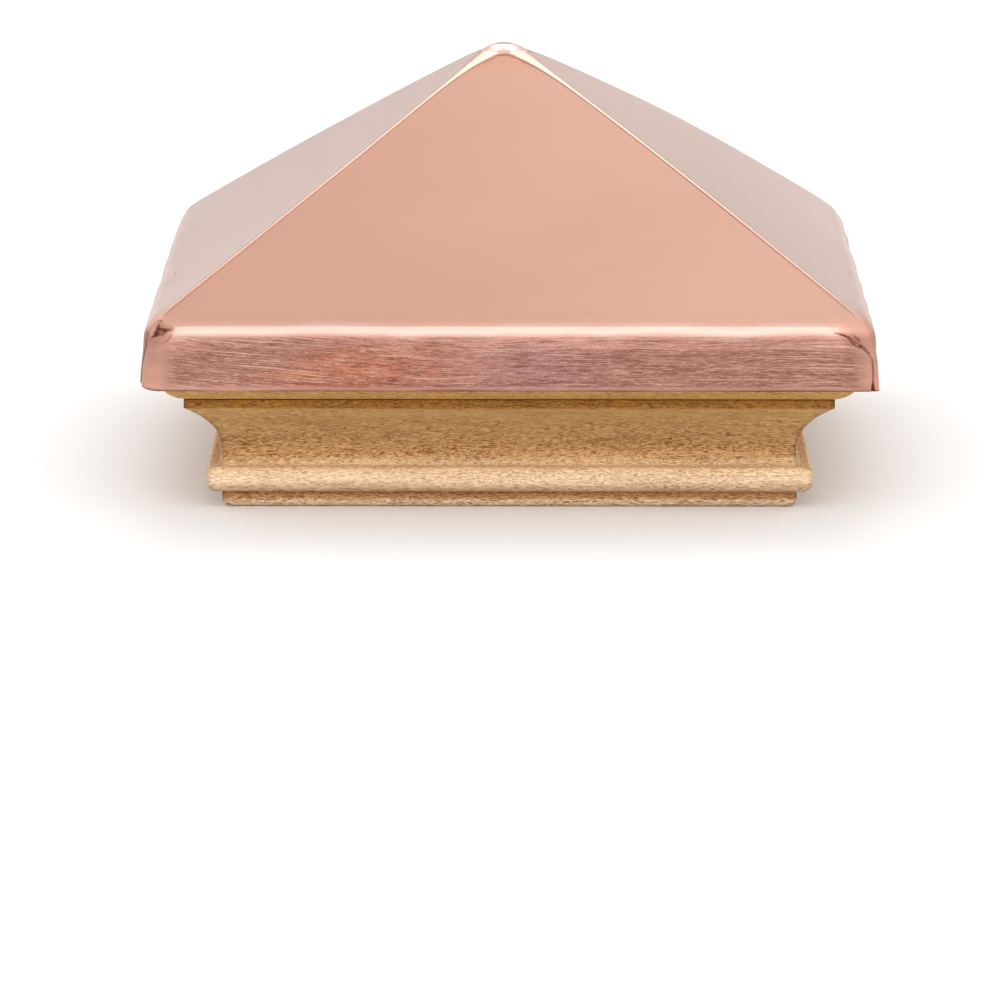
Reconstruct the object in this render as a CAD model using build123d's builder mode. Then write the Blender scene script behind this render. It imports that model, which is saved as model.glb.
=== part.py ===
"""Fence post cap: a copper pyramid over a laminated wood core, on a mitred frame of
wood moulding that slips over the top of a nominal 4x4 timber post.

Millimetres, +Z up. The origin is the centre of the frame's open underside, and -Y is
the front. The cap is the same on all four sides.
"""

from math import acos, atan, cos, degrees, radians, sin, tan
import os

from build123d import *

# Socket for the post
SOCKET_WIDTH = 92.1  # 3-5/8 in, slips over a 4x4 that measures 89 to 90.5
SEAT_WIDTH = 91.0  # shallow seat routed in the core for the post's end
SEAT_DEPTH = 1.6

# Moulding section, as half widths of the finished frame and heights above its underside
FRAME_HEIGHT = 22.3
LIP_HALF = 54.9
LIP_ROUND = 1.9
BEAD_HALF = 57.75
BEAD_UNDERSIDE = 3.3
BEAD_LOWER_ROUND = 2.4
BEAD_UPPER_ROUND = 1.0
LEDGE_HEIGHT = 8.4
COVE_HALF = 54.9
COVE_RADIUS = 12.4
COVE_AXIS_HEIGHT = 9.6
FILLET_HALF = 61.7

# Copper cover: virtual corners of the folded sheet, before its bends are rounded
SHEET = 0.6
EAVE_HALF = 69.15
EAVE_HEIGHT = 37.15
EAVE_RADIUS = 6.0
PEAK_HEIGHT = 83.4
PEAK_RADIUS = 7.0
HEM_HALF = 69.85
HEM_HEIGHT = 25.5
SKIRT_CORNER_RADIUS = 3.0
SECTION_REACH = 140.0  # each way from the middle, well past both ends of the cover
LAP_LENGTH = 11.0  # gusset folded behind one end of each skirt
LAP_HEIGHT = 8.0
LAP_RISE = 0.5  # of the gusset's lower edge above the hem
LAP_DEPTH = 0.9  # from the middle of the skirt's sheet to the gusset's inner face

# Wood core: a 5-1/4 in square of 1 in board, with the peak laminated on top
CORE_WIDTH = 133.4
CORE_ROUNDOVER = 6.35
BOARD_THICKNESS = 25.4
GLUE_GAP = 0.8  # between the core's slopes and the inside of the sheet

# Adhesive beads on each slope: distance of the bead from the cap's axis, and its length
BEADS = ((57.0, 84.0), (33.0, 36.0))
BEAD_WIDTH = 6.0

# Nails down through the board into each moulding, two to a side
NAIL_LENGTH = 38.1
NAIL_RADIUS = 0.95
NAIL_POINT_RADIUS = 0.24
NAIL_HEAD_RADIUS = 1.5
NAIL_HEAD_HEIGHT = 1.2
NAIL_TIP = 3.0
NAIL_INSET = 3.8  # from the socket's face to the nail
NAIL_SPREAD = 40.0  # between the two nails of a side

# Brads across each mitre, one from each side, with their heads set below the surface
BRAD_LENGTH = 25.4
BRAD_RADIUS = 0.6
BRAD_INSET = 4.2
LOW_BRAD_HEIGHT = 5.8  # through the bead
LOW_BRAD_SET = 1.5
HIGH_BRAD_HEIGHT = 13.5  # through the cove
HIGH_BRAD_SET = 0.75

# Worked out
SOCKET_HALF = SOCKET_WIDTH / 2
SLOPE = degrees(atan((PEAK_HEIGHT - EAVE_HEIGHT) / EAVE_HALF))
SKIRT_FLARE = (HEM_HALF - EAVE_HALF) / (EAVE_HEIGHT - HEM_HEIGHT)
BOARD_TOP = FRAME_HEIGHT + BOARD_THICKNESS
CORE_INSET = SHEET + GLUE_GAP
COVE_SWEEP = degrees(acos((COVE_HALF + COVE_RADIUS - FILLET_HALF) / COVE_RADIUS))
SIDES = {"front": -90, "right": 0, "back": 90, "left": 180}


def outward(angle):
    """Horizontal direction at an angle from +X."""
    return Vector(cos(radians(angle)), sin(radians(angle)), 0)


def skirt_half(height):
    """Half width of the outside of the skirt, which flares towards its hem."""
    return EAVE_HALF + (EAVE_HEIGHT - height) * SKIRT_FLARE


def cover_section(plane, inset, foot):
    """Upright section of the cover's outside, moved in by inset and closed at foot."""
    with BuildSketch(plane) as section:
        with BuildLine():
            Polyline(
                (skirt_half(foot), foot),
                (EAVE_HALF, EAVE_HEIGHT),
                (0, PEAK_HEIGHT),
                (-EAVE_HALF, EAVE_HEIGHT),
                (-skirt_half(foot), foot),
                close=True,
            )
        make_face()
        fillet(section.vertices().group_by(Axis.Y)[1], EAVE_RADIUS)
        fillet(section.vertices().group_by(Axis.Y)[-1], PEAK_RADIUS)
        if inset:
            offset(amount=-inset, mode=Mode.REPLACE)
    return section.sketch


def cover_form(inset, foot):
    """Solid inside the cover's outside surface moved in by inset, with mitred hips."""
    low_width = 2 * (skirt_half(foot) - inset)
    high_width = 2 * (skirt_half(PEAK_HEIGHT) - inset)
    corner = SKIRT_CORNER_RADIUS - min(inset, SHEET)
    with BuildPart() as form:
        extrude(cover_section(Plane.XZ, inset, foot), amount=SECTION_REACH, both=True)
        extrude(
            cover_section(Plane.YZ, inset, foot),
            amount=SECTION_REACH,
            both=True,
            mode=Mode.INTERSECT,
        )
        with BuildSketch(Plane.XY.offset(foot)):
            RectangleRounded(low_width, low_width, corner)
        with BuildSketch(Plane.XY.offset(PEAK_HEIGHT)):
            RectangleRounded(high_width, high_width, corner)
        loft(mode=Mode.INTERSECT)
    return form.part


def slope_plane(angle, reach):
    """Plane on one slope of the core, at a distance reach from the cap's axis."""
    outer_height = EAVE_HEIGHT + (EAVE_HALF - reach) * tan(radians(SLOPE))
    height = outer_height - CORE_INSET / cos(radians(SLOPE))
    out = outward(angle)
    normal = out * sin(radians(SLOPE)) + Vector(0, 0, cos(radians(SLOPE)))
    along = Vector(0, 0, 1).cross(out)
    return Plane(origin=out * reach + Vector(0, 0, height), x_dir=along, z_dir=normal)


# Nails through the board into the mouldings
with BuildPart() as frame_nails:
    nail_reach = SOCKET_HALF + NAIL_INSET
    nail_top = [
        outward(angle) * nail_reach
        + outward(angle + 90) * side * NAIL_SPREAD / 2
        + Vector(0, 0, BOARD_TOP)
        for angle in SIDES.values()
        for side in (-1, 1)
    ]
    with Locations(nail_top):
        Cylinder(
            NAIL_RADIUS,
            NAIL_LENGTH - NAIL_TIP,
            align=(Align.CENTER, Align.CENTER, Align.MAX),
        )
        Cylinder(
            NAIL_HEAD_RADIUS,
            NAIL_HEAD_HEIGHT,
            align=(Align.CENTER, Align.CENTER, Align.MAX),
        )
    with Locations([top - Vector(0, 0, NAIL_LENGTH) for top in nail_top]):
        Cone(
            NAIL_POINT_RADIUS,
            NAIL_RADIUS,
            NAIL_TIP,
            align=(Align.CENTER, Align.CENTER, Align.MIN),
        )
frame_nails.part.label = "frame_nails"

# Brads across the mitres: at each corner a low one runs one way, a high one the other
with BuildPart() as mitre_brads:
    brad_line = SOCKET_HALF + BRAD_INSET
    for angle in SIDES.values():
        for turn, height, start in (
            (-1, LOW_BRAD_HEIGHT, BEAD_HALF - LOW_BRAD_SET),
            (1, HIGH_BRAD_HEIGHT, COVE_HALF - HIGH_BRAD_SET),
        ):
            corner_side = outward(angle + 90 * turn)
            head = outward(angle) * start + corner_side * brad_line + Vector(0, 0, height)
            with BuildSketch(Plane(origin=head, z_dir=-outward(angle))):
                Circle(BRAD_RADIUS)
            extrude(amount=BRAD_LENGTH)
mitre_brads.part.label = "mitre_brads"

# Core: the board below and the peak block glued on top of it
with BuildPart() as core_board:
    with BuildSketch(Plane.XY.offset(FRAME_HEIGHT)):
        Rectangle(CORE_WIDTH, CORE_WIDTH)
    extrude(amount=BOARD_THICKNESS)
    fillet(core_board.faces().sort_by(Axis.Z)[0].edges(), CORE_ROUNDOVER)
    add(cover_form(CORE_INSET, 0), mode=Mode.INTERSECT)
    with BuildSketch(Plane.XY.offset(FRAME_HEIGHT)):
        Rectangle(SEAT_WIDTH, SEAT_WIDTH)
    extrude(amount=SEAT_DEPTH, mode=Mode.SUBTRACT)
    add(frame_nails.part, mode=Mode.SUBTRACT)
core_board.part.label = "core_board"

with BuildPart() as core_peak:
    add(cover_form(CORE_INSET, 0))
    split(bisect_by=Plane.XY.offset(BOARD_TOP), keep=Keep.TOP)
core_peak.part.label = "core_peak"

# Adhesive beads squeezed between the core's slopes and the cover
with BuildPart() as cover_adhesive:
    for angle in SIDES.values():
        for reach, length in BEADS:
            with BuildSketch(slope_plane(angle, reach)):
                SlotOverall(length, BEAD_WIDTH)
            extrude(amount=GLUE_GAP)
cover_adhesive.part.label = "cover_adhesive"

# Copper cover: one folded sheet, with a gusset lapped inside one end of each skirt
with BuildPart() as copper_cover:
    add(cover_form(0, HEM_HEIGHT))
    add(cover_form(SHEET, 0), mode=Mode.SUBTRACT)
    lap_middle = HEM_HEIGHT + LAP_RISE + LAP_HEIGHT / 2
    sheet_middle = skirt_half(lap_middle) - SHEET / 2
    lap_offset = sheet_middle - SKIRT_CORNER_RADIUS - LAP_LENGTH / 2
    for angle in SIDES.values():
        inward = -outward(angle) - Vector(0, 0, SKIRT_FLARE)
        along = outward(angle + 90)
        lap_centre = outward(angle) * sheet_middle + along * lap_offset + Vector(0, 0, lap_middle)
        with BuildSketch(Plane(origin=lap_centre, x_dir=along, z_dir=inward)):
            Rectangle(LAP_LENGTH, LAP_HEIGHT)
        extrude(amount=LAP_DEPTH)
copper_cover.part.label = "copper_cover"


def moulding(name, angle):
    """One side of the frame, mitred at both ends and bored for its nails and brads."""
    out = outward(angle)
    with BuildPart() as rail:
        with BuildSketch(Plane(origin=(0, 0, 0), x_dir=out, z_dir=out.cross(Vector(0, 0, 1)))):
            with BuildLine():
                underside = Line((SOCKET_HALF, 0), (LIP_HALF - LIP_ROUND, 0))
                lip = JernArc(underside @ 1, (1, 0), LIP_ROUND, 90)
                riser = Line(lip @ 1, (LIP_HALF, BEAD_UNDERSIDE))
                step = Line(riser @ 1, (BEAD_HALF - BEAD_LOWER_ROUND, BEAD_UNDERSIDE))
                bead_low = JernArc(step @ 1, (1, 0), BEAD_LOWER_ROUND, 90)
                bead_face = Line(bead_low @ 1, (BEAD_HALF, LEDGE_HEIGHT - BEAD_UPPER_ROUND))
                bead_high = JernArc(bead_face @ 1, (0, 1), BEAD_UPPER_ROUND, 90)
                ledge = Line(bead_high @ 1, (COVE_HALF, LEDGE_HEIGHT))
                cove_foot = Line(ledge @ 1, (COVE_HALF, COVE_AXIS_HEIGHT))
                cove = JernArc(cove_foot @ 1, (0, 1), COVE_RADIUS, -COVE_SWEEP)
                Polyline(
                    cove @ 1,
                    (FILLET_HALF, FRAME_HEIGHT),
                    (SOCKET_HALF, FRAME_HEIGHT),
                    underside @ 0,
                )
            make_face()
        extrude(amount=FILLET_HALF, both=True)
        for end in (-1, 1):
            mitre = Plane(origin=(0, 0, 0), z_dir=outward(angle + 180 + end * 45))
            split(bisect_by=mitre, keep=Keep.BOTTOM)
        add(frame_nails.part, mode=Mode.SUBTRACT)
        add(mitre_brads.part, mode=Mode.SUBTRACT)
    rail.part.label = name
    return rail.part


mouldings = [moulding(f"moulding_{side}", angle) for side, angle in SIDES.items()]

os.makedirs("parts", exist_ok=True)
for piece in (
    copper_cover.part,
    core_board.part,
    core_peak.part,
    cover_adhesive.part,
    frame_nails.part,
    mitre_brads.part,
    *mouldings,
):
    export_step(piece, f"parts/{piece.label}.step")
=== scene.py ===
"""Copper pyramid fence post cap on a mitred wood moulding frame, on a pale studio floor."""

import math

import bpy
import numpy as np
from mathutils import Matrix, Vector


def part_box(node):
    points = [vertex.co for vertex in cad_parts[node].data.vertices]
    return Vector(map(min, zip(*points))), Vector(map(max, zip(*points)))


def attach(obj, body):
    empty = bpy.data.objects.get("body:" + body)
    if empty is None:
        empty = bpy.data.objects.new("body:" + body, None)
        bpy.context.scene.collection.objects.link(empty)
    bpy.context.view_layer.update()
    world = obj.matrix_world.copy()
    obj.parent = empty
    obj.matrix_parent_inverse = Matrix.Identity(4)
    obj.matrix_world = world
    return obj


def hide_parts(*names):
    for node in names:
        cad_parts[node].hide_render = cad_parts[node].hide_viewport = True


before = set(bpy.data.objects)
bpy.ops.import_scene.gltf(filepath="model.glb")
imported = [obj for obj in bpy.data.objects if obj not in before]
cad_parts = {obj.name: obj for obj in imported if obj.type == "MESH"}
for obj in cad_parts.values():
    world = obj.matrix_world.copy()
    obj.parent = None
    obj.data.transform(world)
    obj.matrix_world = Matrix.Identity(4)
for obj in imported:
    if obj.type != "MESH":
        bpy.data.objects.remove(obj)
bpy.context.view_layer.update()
MM = 0.001  # lengths are in millimetres, apart from the studio's, and make_mesh scales by this

# Sides in ring order, as the angle of each side's outward direction, seen from above
SIDE_ANGLES = {"front": -90, "right": 0, "back": 90, "left": 180}

# Copper cover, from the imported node's box
cover_low, cover_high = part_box("copper_cover")
HEM_HALF = cover_high.x / MM
HEM_HEIGHT = cover_low.z / MM
COVER_TOP = cover_high.z / MM
SHEET = 0.6
EAVE_HALF = HEM_HALF - 0.7
EAVE_HEIGHT = HEM_HEIGHT + 11.65
EAVE_RADIUS = 6.5
PEAK_VIRTUAL = COVER_TOP + 1.42  # where the slopes would meet without the rounded peak
PEAK_DRIFT = -1.3  # the hand-formed peak leans this far along X
PEAK_RADIUS = 7.0
NOSE_HALF = 4.7  # half width at the painted shade line round the nose of the peak, inside which a highlight is painted
NOSE_MESH_HALF = NOSE_HALF + 1.5  # the nose's fine mesh ends here
HIP_RADIUS = 0.6
HIP_FLARE = 13.5  # the hips' extra radius at the peak
SLOPE_START = 39  # the slopes' crown starts at this height

# Skirt corners in ring order: right-front, right-back, left-back, left-front
CORNER_RADII = (1.2, 1.6, 2.2, 4.2)
CORNER_SQUASH = (0.6, 0.6, 0.5, 1.2)  # how far each is beaten in
SQUASH_REACH = (8.0, 4.5, 4.5, 4.5)  # how far that goes along the side before the corner
BEATEN_REACH = (6.3, 4.5, 4.5, 4.5)  # half width of the dented patch over the corner
SMOOTH_BANDS = (  # where the brushing stops: starts, is full, begins to fade, ends
    (-4.0, -2.0, 0.8, 5.5),
    (-4.0, -2.0, 0.8, 5.5),
    (-4.0, -2.0, 0.8, 5.5),
    (-6.8, -2.2, 1.5, 4.0),
)
SIDE_OFFSET = 31.0  # sets the four sides' noise apart

# Cover's mesh: spans between its levels, and its columns
NOSE_SPAN = 0.2
SLOPE_SPAN = 1.5
FOLD_SPAN = 0.14
SKIRT_SPAN = 0.35
FOLD_BASE = 31.5  # the mesh is finest from this height
DETAIL_TOP = 40.0  # up to this one
TIP_HALF = 0.3  # and ends at this half width, short of its tip
FINE_REACH = 7.7  # columns are close together this near to a corner
COARSE_COLUMNS = 11  # from there to a side's middle
ARC_STEPS = 44  # round each corner
SLOPE_COLUMNS = 5  # above DETAIL_TOP and inside, one column in 5 stays,
SLOPE_ARC_COLUMNS = 4  # or one in 4 round a corner,
INSIDE_ROWS = 9  # and inside, one row in 9

# Folds at the skirt's corners, as (distance from the corner, height)
FRONT_RIGHT_LAP = [
    (7.6, 36.7),
    (6.4, 36.5),
    (5.4, 36.15),
    (4.8, 35.6),
    (4.3, 34.8),
    (3.8, 34.3),
    (3.1, 34.05),
    (2.4, 33.55),
    (1.75, 32.9),
    (1.35, 32.3),
    (1.05, 31.4),
    (1.0, 29.5),
    (1.15, 27.0),
    (1.2, HEM_HEIGHT - 1),
]
CRIMP = [(4.3, 36.1), (3.95, 35.4), (3.5, 34.85)]
POCKET = [(3.7, 36.1), (3.15, 35.3)]
HOLLOW_OUTLINE = [
    (-1.0, 38.4),
    (-1.7, 37.95),
    (-2.8, 37.6),
    (-3.7, 37.4),
    (-4.5, 37.15),
    (-3.6, 36.8),
    (-2.9, 36.2),
    (-1.9, 36.0),
    (-1.0, 35.7),
    (-0.1, 35.5),
    (0.6, 35.3),
    (0.1, 36.3),
    (-0.4, 37.1),
    (-0.7, 37.8),
]
HOLLOW_TOP = HOLLOW_OUTLINE[:5]
HOLLOW_LIP = HOLLOW_OUTLINE[4:11]
LIP_CREASE = [(-4.4, 36.0), (-3.9, 35.2), (-3.4, 34.9), (-2.9, 34.5)]
TONGUE = [(-0.75, 38.5), (-0.25, 37.7), (0.3, 36.9), (0.8, 36.0), (1.2, 35.2), (1.4, 34.4)]
FRONT_LEFT_SEAM = [
    (-0.95, 38.9),
    (0.0, 38.6),
    (0.8, 37.9),
    (1.3, 37.0),
    (1.5, 35.6),
    (1.6, 34.0),
    (1.65, 32.0),
    (1.7, 29.5),
    (1.7, HEM_HEIGHT - 1),
]

# Core board
board_low, board_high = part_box("core_board")
BOARD_HALF = board_high.x / MM
BOARD_BASE = board_low.z / MM
BOARD_TOP = board_high.z / MM
BOARD_ROUNDOVER = 6.35
BOARD_SIDE_TOP = 37.1  # the board's slopes start here
BOARD_SLOPE = 0.669
BOARD_CORNER = 7  # corner radius inside the cover
SEAT_HALF = 45.5
SEAT_DEPTH = 1.6

# Moulding frame
rail_low, rail_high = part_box("moulding_front")
FILLET_HALF = rail_high.x / MM
SOCKET_HALF = -rail_high.y / MM
FRAME_HEIGHT = rail_high.z / MM
LIP_HALF = 54.9
BEAD_HALF = 57.75
BEAD_UNDERSIDE = 3.3
LEDGE_HEIGHT = 8.4
COVE = (
    (54.72, 9.6),
    (54.68, 11.2),
    (54.95, 13.1),
    (55.6, 14.9),
    (56.65, 16.5),
    (58.75, 18.65),
    (61.5, 20.6),
)
COVE_GUIDES = ((LIP_HALF, LEDGE_HEIGHT - 1), (64.5, 22.4))  # its curve aims from and to these
MITRE_GAP = 0.04
GRAIN_OFFSET = 40  # sets the four mouldings' grain apart


# Geometry helpers

TURN_PER_STEP = 0.16  # radians between the points of a rounded corner


def smoothstep(low, high, value):
    """0 below low, 1 above high, smooth between. low may be the larger."""
    t = np.clip((value - low) / (high - low), 0, 1)
    return t * t * (3 - 2 * t)


def bell(distance, width, power=2):
    """1 at no distance, 1/e at the width and 0 far away. A higher power has a flatter top."""
    return np.exp(-((distance / width) ** power))


def wave_noise(points, size, seed, octaves=3):
    """Smooth repeatable noise from -1 to 1 over arrays of coordinates, one feature per size."""
    random = np.random.default_rng(seed)
    total = np.zeros(points[0].shape)
    weight = 0
    for octave in range(octaves):
        strength = 0.5**octave
        for _ in range(4):
            direction = random.normal(size=len(points))
            direction *= 2 ** (octave + 1) * math.pi / size / np.linalg.norm(direction)
            phase = random.uniform(0, 2 * math.pi)
            total += strength * np.sin(sum(d * p for d, p in zip(direction, points)) + phase)
        weight += strength * 2
    return total / weight


def corner_arc(before, corner, after, radius):
    """Points of the arc that rounds a corner of a section to a radius."""
    before, corner, after = (np.array(p, float) for p in (before, corner, after))
    towards = (before - corner) / np.linalg.norm(before - corner)
    away = (after - corner) / np.linalg.norm(after - corner)
    half_angle = math.acos(np.clip(towards @ away, -1, 1)) / 2
    middle = towards + away
    centre = corner + middle / np.linalg.norm(middle) * radius / math.sin(half_angle)
    reach = radius / math.tan(half_angle)
    first = corner + towards * reach - centre
    last = corner + away * reach - centre
    turn = math.pi - 2 * half_angle
    sense = np.sign(first[0] * last[1] - first[1] * last[0])
    steps = max(2, math.ceil(turn / TURN_PER_STEP))
    angles = np.arange(steps + 1) / steps * turn * sense
    cos, sin = np.cos(angles), np.sin(angles)
    across = centre[0] + first[0] * cos - first[1] * sin
    up = centre[1] + first[0] * sin + first[1] * cos
    return np.stack([across, up], 1)


def rounded_section(corners, longest):
    """A section from (half width, height, corner radius), with long runs divided.

    longest is the longest run, or a function that gives it for a run's two ends.
    """
    points = [np.array([corners[0][:2]], float)]
    for before, corner, after in zip(corners, corners[1:], corners[2:]):
        if corner[2]:
            points.append(corner_arc(before[:2], corner[:2], after[:2], corner[2]))
        else:
            points.append(np.array([corner[:2]], float))
    points.append(np.array([corners[-1][:2]], float))
    points = np.concatenate(points)
    result = [points[0]]
    for start, end in zip(points, points[1:]):
        length = np.linalg.norm(end - start)
        if length < 1e-6:
            continue
        span = longest(start, end) if callable(longest) else longest
        count = max(1, math.ceil(length / span))
        result += [start + (end - start) * (i + 1) / count for i in range(count)]
    return np.array(result)


def smooth_curve(points, steps):
    """Catmull-Rom curve through all points but the first and last."""
    p = np.array(points, float)
    t = (np.arange(steps) / steps)[:, None]
    pieces = []
    for a, b, c, d in zip(p, p[1:], p[2:], p[3:]):
        square = 2 * a - 5 * b + 4 * c - d
        cube = 3 * b - a - 3 * c + d
        pieces.append(0.5 * (2 * b + (c - a) * t + square * t**2 + cube * t**3))
    return np.concatenate([*pieces, p[-2:-1]])


def make_mesh(name, points, faces, material, attributes):
    """A piece from points in millimetres, with vector attributes for its material."""
    mesh = bpy.data.meshes.new(name)
    mesh.from_pydata((np.asarray(points) * MM).tolist(), [], [list(f) for f in faces])
    for key, values in attributes.items():
        layer = mesh.attributes.new(key, "FLOAT_VECTOR", "POINT")
        layer.data.foreach_set("vector", np.asarray(values, np.float32).ravel())
    mesh.validate()
    mesh.materials.append(material)
    piece = bpy.data.objects.new(name, mesh)
    bpy.context.scene.collection.objects.link(piece)
    mesh.shade_smooth()
    return piece


def ring_stack(levels, radii, stations, arc_steps):
    """Grid of points: one rounded square per (half width, height) level.

    radii[level][corner] rounds the plan's corners. stations run from -1 to 1 along each
    side. Returns the points, and along, the distance from each side's middle.
    """
    rows, along_rows = [], []
    t = (np.asarray(stations) + 1) / 2
    for (half, height), corner_radii in zip(levels, radii):
        row, along_row = [], []
        for side, angle in enumerate(SIDE_ANGLES.values()):
            a = math.radians(angle)
            out = np.array([math.cos(a), math.sin(a)])
            along = np.array([-math.sin(a), math.cos(a)])
            r_start, r_end = corner_radii[side - 1], corner_radii[side]
            run = -(half - r_start) + t * (2 * half - r_start - r_end)
            row.append(out * half + along * run[:, None])
            along_row.append(run)
            turn = np.arange(1, arc_steps) / arc_steps * math.pi / 2
            centre = (out + along) * (half - r_end)
            row.append(
                centre + r_end * (out * np.cos(turn)[:, None] + along * np.sin(turn)[:, None])
            )
            first_half = turn <= math.pi / 4
            reach = half - r_end + r_end * np.where(first_half, np.sin(turn), np.cos(turn))
            along_row.append(np.where(first_half, reach, -reach))
        flat = np.concatenate(row)
        rows.append(np.column_stack([flat, np.full(len(flat), height)]))
        along_rows.append(np.concatenate(along_row))
    return np.array(rows), np.array(along_rows)


def grid_faces(rows, columns):
    """Quads between neighbouring rows of a grid that closes round."""
    return [
        (
            r * columns + c,
            r * columns + (c + 1) % columns,
            (r + 1) * columns + (c + 1) % columns,
            (r + 1) * columns + c,
        )
        for r in range(rows - 1)
        for c in range(columns)
    ]


def grid_normals(grid):
    """Unit normals of a closed ring grid, pointing out of the cover."""
    around = np.roll(grid, -1, axis=1) - np.roll(grid, 1, axis=1)
    up = np.gradient(grid, axis=0)
    normal = np.cross(around, up)
    normal /= np.maximum(np.linalg.norm(normal, axis=2, keepdims=True), 1e-9)
    hem_rows = int(np.searchsorted(grid[:, 0, 2], HEM_HEIGHT + 0.6))
    normal[:hem_rows] = normal[hem_rows]
    return normal


def distance_to_path(u, v, path):
    """Distance to a polyline, its sign (positive on its left), and how far along it."""
    best = np.full(u.shape, 1e9)
    side = np.zeros(u.shape)
    travelled = np.zeros(u.shape)
    start_length = 0.0
    for (u0, v0), (u1, v1) in zip(path, path[1:]):
        du, dv = u1 - u0, v1 - v0
        length = math.hypot(du, dv)
        t = np.clip(((u - u0) * du + (v - v0) * dv) / length**2, 0, 1)
        d = np.hypot(u - u0 - t * du, v - v0 - t * dv)
        closer = d < best
        best = np.where(closer, d, best)
        side = np.where(closer, np.sign(du * (v - v0) - dv * (u - u0)), side)
        travelled = np.where(closer, start_length + t * length, travelled)
        start_length += length
    return best, side, travelled


def inside_polygon(u, v, polygon):
    """True where a point is inside a closed polygon."""
    inside = np.zeros(u.shape, bool)
    for (u0, v0), (u1, v1) in zip(polygon, polygon[1:] + polygon[:1]):
        crosses = (v0 > v) != (v1 > v)
        where = u0 + (v - v0) * (u1 - u0) / (v1 - v0 if v1 != v0 else 1e-9)
        inside ^= crosses & (u < where)
    return inside


# Material helpers


def add_node(tree, kind, inputs=None, **settings):
    """A shader node with its settings, and its inputs set to a value or linked to a socket."""
    node = tree.nodes.new("ShaderNode" + kind)
    for key, value in settings.items():
        setattr(node, key, value)
    for key, value in (inputs or {}).items():
        socket = node.inputs[key]
        if isinstance(value, bpy.types.NodeSocket):
            tree.links.new(value, socket)
        else:
            socket.default_value = value
    return node


def new_material(name):
    """An empty node material: its tree and its Principled shader."""
    material = bpy.data.materials.new(name)
    material.use_nodes = True
    tree = material.node_tree
    return material, tree, tree.nodes["Principled BSDF"]


def maths(tree, operation, a, b=0.0, clamp=False):
    """Output of a Math node."""
    node = add_node(tree, "Math", {0: a, 1: b}, operation=operation, use_clamp=clamp)
    return node.outputs[0]


def swing(tree, value, width):
    """A noise of 0 to 1 as an offset: 0 at its middle, and width from end to end."""
    return maths(tree, "MULTIPLY", maths(tree, "SUBTRACT", value, 0.5), width)


def mix_colour(tree, factor, a, b, blend="MIX"):
    """Colour b over a, by factor."""
    node = add_node(tree, "Mix", data_type="RGBA", blend_type=blend)
    for key, value in (("Factor", factor), (6, a), (7, b)):
        socket = node.inputs[key]
        if isinstance(value, bpy.types.NodeSocket):
            tree.links.new(value, socket)
        elif isinstance(value, tuple):
            socket.default_value = (*value, 1.0)
        else:
            socket.default_value = value
    return node.outputs[2]


def remap(tree, value, low, high, to_low=0.0, to_high=1.0):
    """A value moved from one range to another, clamped and smooth."""
    limits = {"From Min": low, "From Max": high, "To Min": to_low, "To Max": to_high}
    inputs = {"Value": value, **limits}
    return add_node(tree, "MapRange", inputs, interpolation_type="SMOOTHSTEP").outputs["Result"]


def noise(tree, vector, size, detail, roughness, seed):
    """Noise over millimetre coordinates; size is its feature size along each of them."""
    scale = tuple(1 / s for s in size)
    place = {"Vector": vector, "Scale": scale, "Location": (seed, seed * 1.7, seed * 0.6)}
    mapped = add_node(tree, "Mapping", place).outputs[0]
    inputs = {"Vector": mapped, "Scale": 1.0, "Detail": detail, "Roughness": roughness}
    return add_node(tree, "TexNoise", inputs).outputs["Fac"]


def ramp(tree, factor, stops):
    """Colour ramp from (position, colour) stops."""
    node = add_node(tree, "ValToRGB", {"Fac": factor})
    elements = node.color_ramp.elements
    while len(elements) < len(stops):
        elements.new(0.5)
    for element, (position, colour) in zip(elements, stops):
        element.position = position
        element.color = (*colour, 1.0)
    return node.outputs["Color"]


def bump(tree, height, distance, strength, normal=None):
    """Normal from a height of 0 to 1 over a distance in metres, on top of another normal."""
    inputs = {"Height": height, "Distance": distance, "Strength": strength}
    if normal is not None:
        inputs["Normal"] = normal
    return add_node(tree, "Bump", inputs).outputs["Normal"]


# Materials

ROOF_LEFT = (0.816, 0.456, 0.341)
ROOF_RIGHT = (0.945, 0.558, 0.428)
ROOF_STREAK = (0.80, 0.43, 0.32)
ROOF_WARM = (0.93, 0.47, 0.30)
SKIRT_TINTS = (  # along each side, from its left end to its right; tints darker than the slopes' tones, in part as painted shade for the dimmer surroundings the skirt reflects
    (0.0, (0.416, 0.186, 0.138)),
    (0.18, (0.391, 0.167, 0.114)),
    (0.33, (0.467, 0.186, 0.123)),
    (0.46, (0.433, 0.19, 0.167)),
    (0.6, (0.416, 0.186, 0.17)),
    (0.76, (0.391, 0.174, 0.131)),
    (1.0, (0.416, 0.19, 0.141)),
)
HEAT_STAIN = (0.66, 0.19, 0.07)
SKIRT_PALE = (0.678, 0.339, 0.274)
SKIRT_DEEP = (0.253, 0.092, 0.071)
SCRATCH_DARK = (0.19, 0.06, 0.045)
SCRATCH_LIGHT = (0.855, 0.568, 0.443)
SMOOTH_TONE = (0.65, 0.355, 0.27)
# Painted shade, for seams, creases, the hollow, the hem's edge and the hips' edges
PAINTED_SHADE_TONE = (0.10, 0.03, 0.018)
# Painted highlight, for the eaves, the nose, the hips' ridges and the folds' edges
PAINTED_HIGHLIGHT_TONE = (0.96, 0.74, 0.68)
EDGE_TINT = (0.76, 0.81, 0.83, 1.0)  # of reflections at a grazing angle


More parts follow.
